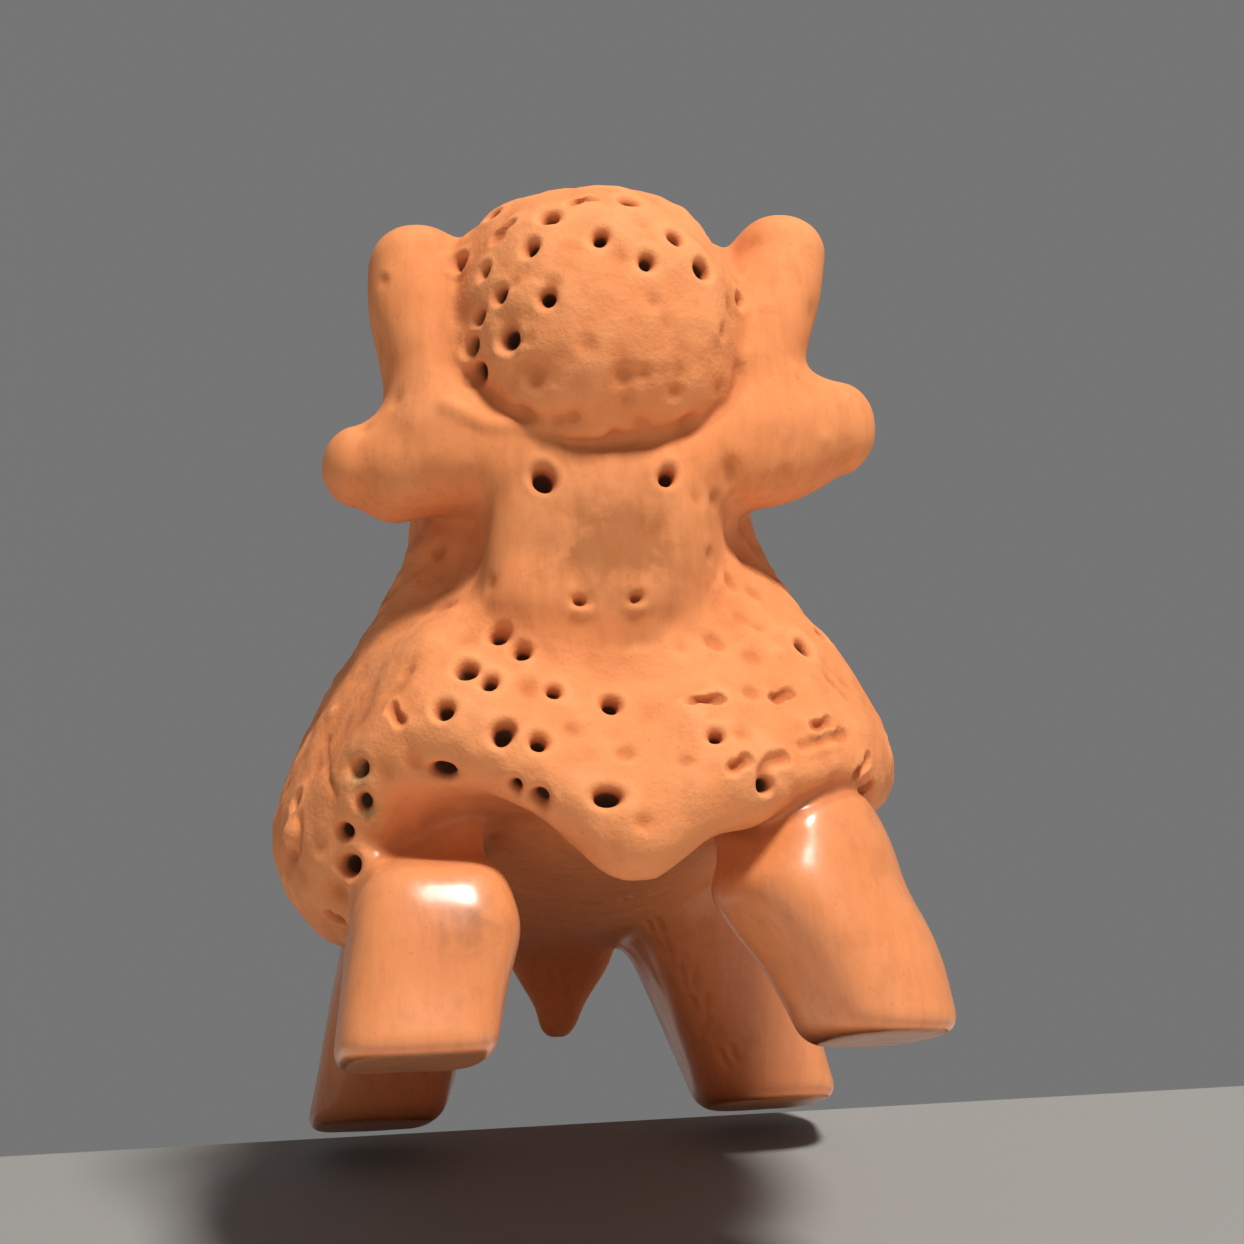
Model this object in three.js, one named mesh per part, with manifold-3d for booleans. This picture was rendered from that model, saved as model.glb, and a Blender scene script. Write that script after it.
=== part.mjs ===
// Pottery buffalo: one solid of fired clay, made by hand and a little uneven on purpose.
// Millimetres, +Z up. It faces -Y and stands on four flat soles at z = 0.
// Left and right are as seen from the front, so the left-hand forms are at -X.

import * as THREE from 'three';
import { mergeVertices } from 'three/addons/utils/BufferGeometryUtils.js';
import Module from 'manifold-3d';

const wasm = await Module();
wasm.setup();

// The middle of the outline seen from above, where the finished part has its origin
const middle = new THREE.Vector3(-0.95, 0.09, 0);

// Body: a barrel whose back falls to the rump, as rows of
// [y, middle height, half width, half height]
const bodySides = 22;
const bodySquareness = 2.3;
const bodyRows = [
  [-20, 23.0, 8.0, 7.0],
  [-14, 24.5, 12.5, 10.0],
  [-6, 27.0, 14.0, 13.0],
  [2, 29.4, 15.0, 15.6],
  [9, 29.2, 15.6, 15.4],
  [16, 27.8, 15.8, 14.0],
  [21.5, 26.2, 14.6, 12.2],
  [25.3, 25.2, 11.6, 9.4],
  [27.4, 24.8, 7.2, 5.6],
  [28.1, 24.7, 3.4, 2.6],
];

// Mane: a cape round an upright axis, with a rolled rim below and the hump's dome above.
// Directions round the axis are degrees from the front, positive to the right.
const maneAxis = new THREE.Vector2(0.3, -8);
const maneSides = 48;
const maneSquareness = 2.25;
const maneUnderside = 17;
const maneCrest = 59;
const maneBellShape = 0.8;
const maneRimOut = { front: 21.3, back: 16.5, left: 23.6, right: 20.6 };
const maneNeckOut = { front: 13.0, back: 13.5, left: 12.6, right: 11.8 };
const maneNeckHeight = { front: 34, back: 46, left: 42, right: 42 };
const maneRimFront = 15;
const maneRimBack = 20.5;
const maneRoll = { height: 3.6, depth: 3.0 };
const maneLeftRoll = { at: -85, width: 38, height: 4.2, depth: 3.2 };
// Lobes of the rim: where they hang, how wide and blunt they are and how far down they reach
const maneLobes = [
  { at: -80, width: 27, drop: 8.0, bluntness: 4 },
  { at: -40, width: 14, drop: -1.5, bluntness: 2 },
  { at: -6, width: 12.5, drop: 3.2, bluntness: 2.6 },
  { at: 10, width: 22, drop: 1.6, bluntness: 2 },
];

// Head: a rounded block, as rows of [height, middle x, half width, front y, half depth]
const headSides = 18;
const headSquareness = 3.2;
const headRows = [
  [27.1, -1.9, 4.4, -24.4, 4.0],
  [28.1, -2.1, 6.1, -25.4, 5.6],
  [30.4, -2.0, 7.2, -26.0, 6.4],
  [34.0, -1.2, 8.1, -25.2, 6.8],
  [38.0, -0.5, 8.2, -24.3, 7.0],
  [42.0, 0.0, 8.6, -23.2, 7.4],
  [47.0, 0.3, 9.0, -22.0, 7.6],
];

// Cap of curly hair: a boxy ball that overhangs the face
const cap = {
  middle: new THREE.Vector3(0.4, -17.3, 51.1),
  half: new THREE.Vector3(10.5, 10.7, 10.9),
  squareness: 2.3,
  around: 24,
  down: 14,
};

// Horns: upright thumbs, as rows of [height, x, y, half width, half depth], and a round tip
const hornLeft = {
  axis: 'z',
  tipLength: 3.2,
  rows: [
    [44.0, -11.0, -16.5, 3.4, 4.4],
    [49.0, -11.2, -16.4, 3.5, 4.6],
    [54.0, -11.8, -16.0, 3.7, 4.4],
    [57.6, -12.0, -15.5, 3.3, 3.9],
  ],
};
const hornRight = {
  axis: 'z',
  tipLength: 3.2,
  rows: [
    [44.0, 10.6, -16.5, 3.6, 4.6],
    [49.0, 11.7, -16.4, 3.7, 4.6],
    [54.0, 13.4, -16.0, 3.8, 4.4],
    [58.5, 14.9, -15.4, 3.4, 3.9],
  ],
};

// Ears: thick paddles at eye level, as rows of [x, y, height, half depth, half height]
const earLeft = {
  axis: 'x',
  tipLength: -2.5,
  rows: [
    [-4.0, -18.0, 42.4, 5.0, 4.6],
    [-9.0, -18.2, 42.9, 4.7, 4.9],
    [-12.5, -17.4, 42.6, 4.2, 4.8],
    [-14.8, -16.6, 42.2, 3.7, 3.9],
    [-16.8, -16.0, 42.6, 3.0, 2.8],
  ],
};
const earRight = {
  axis: 'x',
  tipLength: 2.6,
  rows: [
    [4.0, -18.0, 41.6, 5.0, 4.4],
    [9.0, -18.2, 42.4, 4.6, 4.6],
    [13.0, -17.2, 43.4, 4.1, 4.5],
    [16.0, -16.4, 44.4, 3.7, 4.1],
    [18.2, -16.0, 45.0, 3.1, 3.4],
  ],
};
const limbSides = 12;
const limbSquareness = 2.2;

// Legs: short blocks that splay outwards, as rows of [height, x, y, half width, half depth]
// from the sole up, turned a little round an upright line
const legSides = 16;
const soleEdge = 1.3;
const legs = [
  {
    squareness: 3.2,
    turn: 0,
    rows: [
      [0, -15.5, -22.7, 5.2, 5.8],
      [4.0, -14.8, -22.3, 5.3, 5.4],
      [8.0, -13.9, -21.9, 5.6, 5.3],
      [10.4, -13.7, -21.5, 5.2, 5.0],
      [12.4, -13.5, -21.0, 4.3, 4.2],
      [13.8, -13.4, -20.4, 3.5, 3.4],
      [18.0, -13.2, -18.5, 4.0, 4.0],
    ],
  },
  {
    squareness: 2.6,
    turn: 28,
    rows: [
      [0, 15.1, -23.0, 4.5, 5.0],
      [5.0, 13.8, -22.4, 5.4, 5.3],
      [10.0, 11.6, -21.4, 6.3, 5.6],
      [13.4, 11.5, -20.8, 5.4, 5.4],
      [18.5, 10.2, -19.6, 4.6, 5.0],
    ],
  },
  {
    squareness: 3.4,
    turn: 0,
    rows: [
      [0, -15.4, 17.0, 5.2, 4.8],
      [13.0, -11.6, 15.6, 5.9, 6.6],
      [27.0, -7.6, 14.0, 6.2, 8.6],
    ],
  },
  {
    squareness: 3.4,
    turn: 0,
    rows: [
      [0, 16.0, 17.0, 5.4, 4.8],
      [13.0, 11.9, 15.6, 6.0, 6.6],
      [27.0, 7.6, 14.0, 6.2, 8.6],
    ],
  },
];

// Tail: a flat drop that hugs the rump and ends in a blunt tip between the hind legs,
// as rows of [height, middle x, middle y, half width, half depth]
const tailSides = 10;
const tailRows = [
  [7.0, 0.4, 23.6, 0.8, 0.7],
  [7.9, 0.5, 23.6, 1.5, 1.3],
  [9.8, 0.8, 23.8, 2.2, 1.7],
  [13.0, 1.2, 24.2, 4.0, 2.4],
  [17.0, 1.0, 25.6, 4.0, 2.8],
  [23.0, 0.6, 27.2, 3.0, 2.4],
  [29.0, 0.4, 26.8, 2.5, 2.2],
  [34.0, 0.3, 24.6, 2.1, 2.2],
  [37.0, 0.3, 21.6, 1.5, 1.8],
];

// Holes punched in the soft clay with a blunt stick
const punchSides = 5;
const punchStandOff = 0.8;
const punchTaper = 0.55;
const hairPunch = { radius: 0.75, depth: 1.7 };

// Rows on the front of the mane: height, and directions round its axis
const manePunches = [
  { height: 31.5, at: [-53, 38] },
  { height: 28.5, at: [-30, 29, 55] },
  { height: 26.2, at: [-36, -24, 10, 19, 25, 41] },
  { height: 23.0, at: [-60, -48, -37, -29, -17, -7, 12, 20, 27] },
  { height: 19.8, at: [-54, -41, -26, -19, -5, 10, 35] },
  { height: 17.2, at: [-73, -51, -36, -23, 6, 14, 21, 48] },
  { height: 15.2, at: [-57, -9, -2] },
];

// Rows that run on round its sides and back: how far up they are, from the rim at 0 to the crest
// at 1, the distance between two holes of a row, and the directions where rows start and end
const maneBackRows = { up: [0.05, 0.19, 0.33, 0.47, 0.61, 0.76, 0.91], spacing: 6.1, ends: [68, 284] };

// Rows on the cap: degrees above its middle, and directions as on the mane
const capPunches = [
  { up: 68, at: [-80, -10, 60] },
  { up: 52, at: [-62, -28, 6, 40, 74] },
  { up: 38, at: [-11, 12] },
  { up: 28, at: [-46, -25, 30] },
  { up: 17, at: [-66, -30, -5, 56] },
  { up: 8, at: [-46, 10, 34] },
  { up: -4, at: [-58, -24, 72] },
  { up: -16, at: [-66, -41, -13, 16, 46] },
  { up: -30, at: [-54, -33, 0, 28] },
  { up: -43, at: [-21, 10] },
];

// Eyes and nostrils, pushed straight into the face
const facePunches = [
  { at: [-4.9, -23.9, 38.9], radius: 0.95, depth: 2.0 },
  { at: [3.6, -24.0, 38.9], radius: 0.75, depth: 1.7 },
  { at: [-3.2, -26.0, 29.7], radius: 0.6, depth: 1.4 },
  { at: [0.6, -26.0, 29.8], radius: 0.6, depth: 1.4 },
];

// Helpers

function mix(from, to, share) {
  return from + (to - from) * share;
}

// A smooth hump of height 1 over a direction, blunter with a higher bluntness
function bell(degrees, at, width, bluntness = 2) {
  return Math.exp(-(Math.abs((degrees - at) / width) ** bluntness));
}

// A ring of points round a middle, from round (2) to nearly square (6)
function ring(sides, halfA, halfB, squareness) {
  const points = [];
  for (let side = 0; side < sides; side += 1) {
    const angle = (side / sides) * Math.PI * 2;
    const a = Math.cos(angle);
    const b = Math.sin(angle);
    const size = (Math.abs(a) ** squareness + Math.abs(b) ** squareness) ** (-1 / squareness);
    points.push([a * size * halfA, b * size * halfB]);
  }
  return points;
}

// Rows of sizes along a form, with one smooth row put in between each two
function smoothRows(rows) {
  const row = (index) => rows[Math.min(Math.max(index, 0), rows.length - 1)];
  const result = [];
  for (let index = 0; index + 1 < rows.length; index += 1) {
    result.push(rows[index]);
    result.push(rows[index].map((value, column) => {
      const near = (value + row(index + 1)[column]) / 2;
      const far = (row(index - 1)[column] + row(index + 2)[column]) / 2;
      return near + (near - far) / 8;
    }));
  }
  result.push(rows[rows.length - 1]);
  return result;
}

// A closed skin over rings that all have the same number of points
function skin(rings) {
  const sides = rings[0].length;
  const points = rings.flat();
  const faces = [];
  for (let level = 0; level + 1 < rings.length; level += 1) {
    for (let side = 0; side < sides; side += 1) {
      const here = level * sides + side;
      const next = level * sides + ((side + 1) % sides);
      faces.push(here, next, next + sides);
      faces.push(here, next + sides, here + sides);
    }
  }
  const firstOfLast = (rings.length - 1) * sides;
  const firstMiddle = points.length;
  for (const edge of [rings[0], rings[rings.length - 1]]) {
    const centre = new THREE.Vector3();
    for (const point of edge) centre.addScaledVector(point, 1 / sides);
    points.push(centre);
  }
  for (let side = 0; side < sides; side += 1) {
    const next = (side + 1) % sides;
    faces.push(firstMiddle, next, side);
    faces.push(firstMiddle + 1, firstOfLast + side, firstOfLast + next);
  }
  const geometry = new THREE.BufferGeometry().setFromPoints(points);
  geometry.setIndex(faces);
  return geometry;
}

// Six times the enclosed volume, negative where the faces point inwards
function signedVolume(positions, faces) {
  const corners = [new THREE.Vector3(), new THREE.Vector3(), new THREE.Vector3()];
  let sum = 0;
  for (let face = 0; face < faces.length; face += 3) {
    for (let corner = 0; corner < 3; corner += 1) {
      corners[corner].fromArray(positions, faces[face + corner] * 3);
    }
    sum += corners[0].dot(corners[1].cross(corners[2]));
  }
  return sum;
}

// A closed geometry as a solid that can be joined and cut
function solid(geometry) {
  geometry.deleteAttribute('normal');
  geometry.deleteAttribute('uv');
  const merged = mergeVertices(geometry, 1e-4);
  const vertProperties = new Float32Array(merged.attributes.position.array);
  const triVerts = new Uint32Array(merged.index.array);
  if (signedVolume(vertProperties, triVerts) < 0) triVerts.reverse();
  return new wasm.Manifold(new wasm.Mesh({ numProp: 3, vertProperties, triVerts }));
}

// Body

function makeBody() {
  const rings = smoothRows(bodyRows).map(([y, height, halfWidth, halfHeight]) => {
    const outline = ring(bodySides, halfWidth, halfHeight, bodySquareness);
    return outline.map(([x, z]) => new THREE.Vector3(maneAxis.x + x, y, height + z));
  });
  return skin(rings);
}

// Mane

// Weighs a value at the front or back against one at the left or right
function aroundMane(degrees, sizes) {
  const angle = THREE.MathUtils.degToRad(degrees);
  const lengthwise = Math.cos(angle) > 0 ? sizes.front : sizes.back;
  const sideways = Math.sin(angle) > 0 ? sizes.right : sizes.left;
  return mix(lengthwise, sideways, Math.sin(angle) ** 2);
}

// Distance from the mane's axis to an oval through four distances
function maneReach(degrees, sizes) {
  const angle = THREE.MathUtils.degToRad(degrees);
  const a = Math.abs(Math.cos(angle)) / (Math.cos(angle) > 0 ? sizes.front : sizes.back);
  const b = Math.abs(Math.sin(angle)) / (Math.sin(angle) > 0 ? sizes.right : sizes.left);
  return (a ** maneSquareness + b ** maneSquareness) ** (-1 / maneSquareness);
}

function maneRimBottom(degrees) {
  const angle = THREE.MathUtils.degToRad(degrees);
  let height = mix(maneRimFront, maneRimBack, (1 - Math.cos(angle)) / 2);
  for (const { at, width, drop, bluntness } of maneLobes) {
    height -= drop * bell(degrees, at, width, bluntness);
  }
  return height;
}

// The mane's outline in one direction: [distance from the axis, height] from below to the crest
function maneProfile(degrees) {
  const leftRoll = bell(degrees, maneLeftRoll.at, maneLeftRoll.width);
  const rollHeight = maneRoll.height + maneLeftRoll.height * leftRoll;
  const rollDepth = maneRoll.depth + maneLeftRoll.depth * leftRoll;
  const widest = maneRimBottom(degrees) + rollHeight;
  const rim = maneReach(degrees, maneRimOut);
  const neck = maneReach(degrees, maneNeckOut);
  const neckHeight = aroundMane(degrees, maneNeckHeight);
  const profile = [[(rim - rollDepth) * 0.5, maneUnderside]];
  for (const turn of [90, 60, 30, 0]) {
    const angle = THREE.MathUtils.degToRad(turn);
    profile.push([
      rim - rollDepth * (1 - Math.cos(angle)),
      widest - rollHeight * Math.sin(angle),
    ]);
  }
  const flareSteps = 6;
  for (let step = 1; step <= flareSteps; step += 1) {
    const left = 1 - step / flareSteps;
    const spread = mix(left, THREE.MathUtils.smoothstep(left, 0, 1), maneBellShape);
    profile.push([mix(neck, rim, spread), mix(neckHeight, widest, left)]);
  }
  for (const turn of [20, 40, 58, 74, 85]) {
    const angle = THREE.MathUtils.degToRad(turn);
    profile.push([neck * Math.cos(angle), mix(neckHeight, maneCrest, Math.sin(angle))]);
  }
  return profile;
}

function manePoint(degrees, out, height) {
  const angle = THREE.MathUtils.degToRad(degrees);
  const x = maneAxis.x + Math.sin(angle) * out;
  const y = maneAxis.y - Math.cos(angle) * out;
  return new THREE.Vector3(x, y, height);
}

function makeMane() {
  const columns = [];
  for (let side = 0; side < maneSides; side += 1) {
    const degrees = (side / maneSides) * 360 - 180;
    columns.push(maneProfile(degrees).map(([out, height]) => manePoint(degrees, out, height)));
  }
  return skin(columns[0].map((_, level) => columns.map((column) => column[level])));
}

// The point of the mane's skin in a direction and at a height
function maneSkin(degrees, height) {
  const turned = ((degrees + 540) % 360) - 180;
  const profile = maneProfile(turned).slice(1);
  const above = Math.max(1, profile.findIndex((point) => point[1] > height));
  const [lowOut, low] = profile[above - 1];
  const [highOut, high] = profile[above];
  return manePoint(turned, mix(lowOut, highOut, (height - low) / (high - low)), height);
}

// Head and cap

function makeHead() {
  const rings = smoothRows(headRows).map(([height, middleX, halfWidth, front, halfDepth]) => {
    const outline = ring(headSides, halfWidth, halfDepth, headSquareness);
    return outline.map(([x, y]) => new THREE.Vector3(middleX + x, front + halfDepth + y, height));
  });
  return skin(rings);
}

function capPoint(direction) {
  const parts = direction.toArray().map((part) => Math.abs(part) ** cap.squareness);
  const size = (parts[0] + parts[1] + parts[2]) ** (-1 / cap.squareness);
  return direction.clone().multiplyScalar(size).multiply(cap.half).add(cap.middle);
}

function makeCap() {
  const geometry = new THREE.SphereGeometry(1, cap.around, cap.down);
  geometry.rotateX(Math.PI / 2);
  const position = geometry.attributes.position;
  const point = new THREE.Vector3();
  for (let index = 0; index < position.count; index += 1) {
    point.fromBufferAttribute(position, index);
    position.setXYZ(index, ...capPoint(point).toArray());
  }
  return geometry;
}

// Horns and ears

function makeLimb(limb) {
  const rows = smoothRows(limb.rows);
  const [along, a, b, halfA, halfB] = rows[rows.length - 1];
  for (const turn of [28, 54, 76]) {
    const angle = THREE.MathUtils.degToRad(turn);
    const close = Math.cos(angle);
    rows.push([along + limb.tipLength * Math.sin(angle), a, b, halfA * close, halfB * close]);
  }
  const rings = rows.map(([place, middleA, middleB, sizeA, sizeB]) => {
    const outline = ring(limbSides, sizeA, sizeB, limbSquareness);
    return outline.map(([u, v]) => (limb.axis === 'z'
      ? new THREE.Vector3(middleA + u, middleB + v, place)
      : new THREE.Vector3(place, middleA + u, middleB + v)));
  });
  return skin(rings);
}

// Legs

function makeLeg({ squareness, turn, rows }) {
  const [sole, ...others] = rows;
  const levels = [];
  for (const degrees of [0, 30, 60, 90]) {
    const angle = THREE.MathUtils.degToRad(degrees);
    const height = soleEdge * (1 - Math.cos(angle));
    const inset = soleEdge * (1 - Math.sin(angle));
    levels.push([height, sole[1], sole[2], sole[3] - inset, sole[4] - inset]);
  }
  levels.push(...others);
  const axis = new THREE.Vector3(0, 0, 1);
  const angle = THREE.MathUtils.degToRad(turn);
  const rings = levels.map(([height, x, y, halfWidth, halfDepth]) => {
    const place = new THREE.Vector3(x, y, height);
    const outline = ring(legSides, halfWidth, halfDepth, squareness);
    return outline.map(([a, b]) => new THREE.Vector3(a, b, 0).applyAxisAngle(axis, angle).add(place));
  });
  return skin(rings);
}

// Tail

function makeTail() {
  const rings = smoothRows(tailRows).map(([height, x, y, halfWidth, halfDepth]) => {
    const outline = ring(tailSides, halfWidth, halfDepth, 2);
    return outline.map(([a, b]) => new THREE.Vector3(x + a, y + b, height));
  });
  return skin(rings);
}

// Punched holes

// A blunt, tapered stick that stands a little proud of the skin
function stick(point, outward, radius, depth) {
  const length = depth + punchStandOff;
  const geometry = new THREE.CylinderGeometry(radius * 1.1, radius * punchTaper, length, punchSides);
  const up = new THREE.Vector3(0, 1, 0);
  geometry.translate(0, punchStandOff - length / 2, 0);
  geometry.applyQuaternion(new THREE.Quaternion().setFromUnitVectors(up, outward));
  geometry.translate(point.x, point.y, point.z);
  return solid(geometry);
}

// The clay is punched only where the stick's outer end is in free air
function addPunch(punches, clay, point, outward, { radius, depth }) {
  const end = new THREE.TetrahedronGeometry(0.3);
  const place = point.clone().addScaledVector(outward, punchStandOff);
  end.translate(place.x, place.y, place.z);
  if (clay.intersect(solid(end)).isEmpty()) punches.push(stick(point, outward, radius, depth));
}

function punchMane(punches, clay, degrees, height) {
  const point = maneSkin(degrees, height);
  const across = maneSkin(degrees + 3, height).sub(maneSkin(degrees - 3, height));
  const upwards = maneSkin(degrees, height + 0.6).sub(maneSkin(degrees, height - 0.6));
  addPunch(punches, clay, point, across.cross(upwards).normalize(), hairPunch);
}

function punchCap(punches, clay, degrees, up) {
  const around = THREE.MathUtils.degToRad(degrees);
  const rise = THREE.MathUtils.degToRad(up);
  const direction = new THREE.Vector3(
    Math.sin(around) * Math.cos(rise),
    -Math.cos(around) * Math.cos(rise),
    Math.sin(rise),
  );
  addPunch(punches, clay, capPoint(direction), direction, hairPunch);
}

function makePunches(clay) {
  const punches = [];
  for (const row of manePunches) {
    for (const degrees of row.at) punchMane(punches, clay, degrees, row.height);
  }
  maneBackRows.up.forEach((up, row) => {
    const reach = mix(maneRimOut.back, maneNeckOut.back * 0.6, up);
    const step = THREE.MathUtils.radToDeg(maneBackRows.spacing / reach);
    const [first, last] = maneBackRows.ends;
    for (let degrees = first + (row % 2) * step * 0.5; degrees < last; degrees += step) {
      const height = mix(maneRimBottom(((degrees + 540) % 360) - 180) + 2, maneCrest, up);
      punchMane(punches, clay, degrees, height + 0.6 * Math.sin(degrees));
    }
  });
  for (const row of capPunches) {
    for (const degrees of row.at) punchCap(punches, clay, degrees, row.up);
  }
  const forwards = new THREE.Vector3(0, -1, 0);
  for (const punch of facePunches) {
    addPunch(punches, clay, new THREE.Vector3(...punch.at), forwards, punch);
  }
  return punches;
}

// The whole figurine

const forms = [
  makeBody(),
  makeMane(),
  makeHead(),
  makeCap(),
  makeTail(),
  ...[hornLeft, hornRight, earLeft, earRight].map(makeLimb),
  ...legs.map(makeLeg),
];

let clay = solid(forms[0]);
for (const form of forms.slice(1)) clay = clay.add(solid(form));
for (const punch of makePunches(clay)) clay = clay.subtract(punch);

const result = clay.getMesh();
const geometry = new THREE.BufferGeometry();
geometry.setAttribute('position', new THREE.BufferAttribute(result.vertProperties, 3));
geometry.setIndex(new THREE.BufferAttribute(result.triVerts, 1));
geometry.translate(-middle.x, -middle.y, -middle.z);
geometry.computeVertexNormals();

const terracotta = new THREE.MeshStandardMaterial({
  color: 0xc9693f,
  roughness: 0.7,
  metalness: 0,
});

const buffalo = new THREE.Mesh(geometry, terracotta);
buffalo.name = 'buffalo';

const figurine = new THREE.Group();
figurine.add(buffalo);

export default figurine;
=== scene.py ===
import math

import bpy
import numpy as np
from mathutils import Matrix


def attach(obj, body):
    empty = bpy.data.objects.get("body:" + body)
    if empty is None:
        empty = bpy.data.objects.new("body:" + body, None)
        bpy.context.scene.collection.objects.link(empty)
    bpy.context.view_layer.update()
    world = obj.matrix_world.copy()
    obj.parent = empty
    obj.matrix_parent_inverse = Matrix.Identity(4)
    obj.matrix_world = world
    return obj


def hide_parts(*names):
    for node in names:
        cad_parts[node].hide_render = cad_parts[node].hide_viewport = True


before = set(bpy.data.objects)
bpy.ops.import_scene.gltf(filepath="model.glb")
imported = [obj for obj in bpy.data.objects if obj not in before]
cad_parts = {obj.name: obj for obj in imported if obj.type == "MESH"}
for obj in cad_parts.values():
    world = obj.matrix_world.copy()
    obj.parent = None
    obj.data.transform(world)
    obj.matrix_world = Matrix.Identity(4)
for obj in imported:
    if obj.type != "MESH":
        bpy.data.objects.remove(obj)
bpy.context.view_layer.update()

import openvdb
from mathutils import Matrix, Vector
from mathutils.geometry import tessellate_polygon

# Clay is shaped here in millimetres: x to the right of someone who faces the buffalo, the nose
# towards -y, the soles at z = 0. The finished mesh is moved to the frame's origin and scaled.
middle = np.array([-0.95, 0.09, 0.0])
grain = 0.22          # size of one cell of the modelling volume
reach = 3.4                                  # how far from its skin each form is known
low = np.array([-27.0, -34.0, -4.0])
high = np.array([27.0, 34.0, 66.0])
cells = np.ceil((high - low) / grain).astype(int)
clay = np.full(cells, reach, np.float32)     # distance to the skin, negative inside
shares = {name: np.zeros(cells, np.float32) for name in ("hair", "face", "leg")}
chance = np.random.default_rng(11)


# Forms: rings of points along a shape, closed to a skin, then read as distances

def mix(a, b, share):
    return a + (b - a) * share


def smoothStep(value, start, end):
    share = np.clip((value - start) / (end - start), 0, 1)
    return share * share * (3 - 2 * share)


def smoothRows(rows, steps=8):
    rows = np.array(rows, float)
    padded = np.vstack([rows[0], rows, rows[-1]])
    result = []
    for index in range(len(rows) - 1):
        before, here, there, after = padded[index:index + 4]
        for t in np.arange(steps) / steps:
            bend = 2 * before - 5 * here + 4 * there - after
            turn = 3 * here - before - 3 * there + after
            result.append(0.5 * (2 * here + (there - before) * t + bend * t**2 + turn * t**3))
    result.append(rows[-1])
    return np.array(result)


def outline(halfA, halfB, squareness, turn=0, sides=96):
    angle = np.arange(sides) / sides * 2 * math.pi
    a, b = np.cos(angle), np.sin(angle)
    size = (np.abs(a) ** squareness + np.abs(b) ** squareness) ** (-1 / squareness)
    points = np.stack([a * size * halfA, b * size * halfB], 1)
    turn = math.radians(turn)
    return points @ np.array([[math.cos(turn), math.sin(turn)], [-math.sin(turn), math.cos(turn)]])


def skin(rings):
    rings = np.array(rings)
    levels, sides = rings.shape[:2]
    index = np.arange(levels * sides).reshape(levels, sides)
    here, there = index, np.roll(index, -1, 1)
    faces = [
        np.stack([here[:-1], there[:-1], there[1:]], -1).reshape(-1, 3),
        np.stack([here[:-1], there[1:], here[1:]], -1).reshape(-1, 3),
    ]
    for level, centre in ((0, levels * sides), (-1, levels * sides + 1)):
        edge = index[level]
        faces.append(np.stack([np.full(sides, centre), np.roll(edge, -1), edge], -1))
    points = np.vstack([rings.reshape(-1, 3), rings[0].mean(0), rings[-1].mean(0)])
    return points, np.vstack(faces)


def distances(points, faces):
    local = ((points - low) / grain).astype(np.float32)
    grid = openvdb.FloatGrid.createLevelSetFromPolygons(
        local, triangles=faces.astype(np.uint32), halfWidth=reach / grain)
    first = np.maximum(np.floor(local.min(0) - reach / grain).astype(int), 0)
    last = np.minimum(np.ceil(local.max(0) + reach / grain).astype(int), cells)
    block = np.empty(last - first, np.float32)
    grid.copyToArray(block, ijk=tuple(int(v) for v in first))
    return tuple(slice(a, b) for a, b in zip(first, last)), block * grain


def places(window):
    axes = [low[i] + grain * np.arange(window[i].start, window[i].stop) for i in range(3)]
    return np.meshgrid(*axes, indexing="ij", sparse=True)


def around(centre, size):
    first = np.maximum(((np.array(centre) - size - low) / grain).astype(int), 0)
    last = np.minimum(((np.array(centre) + size - low) / grain).astype(int) + 1, cells)
    return tuple(slice(a, b) for a, b in zip(first, last))


def blend(a, b, radius):
    near = np.maximum(radius - np.abs(a - b), 0) / radius
    return np.minimum(a, b) - near * near * radius * 0.25


def join(form, radius, groove=0.0, **parts):
    window, block = form
    if callable(radius):
        radius = radius(*places(window))
    old = clay[window].copy()
    newer = smoothStep(old - block, -0.4, 0.4)
    for name, share in shares.items():
        share[window] = mix(share[window], parts.get(name, 0.0), newer)
    clay[window] = blend(old, block, radius) + groove * np.exp(-(old**2 + block**2) / 0.36)


# Body, tail and legs

bodyShape = {
    "middleX": 0.3,
    "squareness": 2.3,
    # along, middle height, half width, half height
    "rows": [
        [-20, 23.0, 8.0, 7.0], [-14, 24.5, 12.5, 10.0], [-6, 27.0, 14.0, 13.0],
        [2, 29.4, 15.0, 15.6], [9, 29.2, 15.6, 15.4], [16, 27.8, 15.8, 14.0],
        [21.5, 26.2, 14.6, 12.2], [25.3, 25.2, 11.6, 9.4], [27.4, 24.8, 7.2, 5.6],
        [28.1, 24.7, 3.4, 2.6],
    ],
}
tailShape = {
    # height, middle x, middle y, half width, half depth
    "rows": [
        [7.0, 0.4, 23.6, 0.8, 0.7], [7.9, 0.5, 23.6, 1.5, 1.3], [9.8, 0.8, 23.8, 2.2, 1.7],
        [13.0, 1.2, 24.2, 4.0, 2.4], [17.0, 1.0, 25.6, 4.0, 2.8], [23.0, 0.6, 27.2, 3.0, 2.4],
        [29.0, 0.4, 26.8, 2.5, 2.2], [34.0, 0.3, 24.6, 2.1, 2.2], [37.0, 0.3, 21.6, 1.5, 1.8],
    ],
}
soleEdge = 1.3
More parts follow.
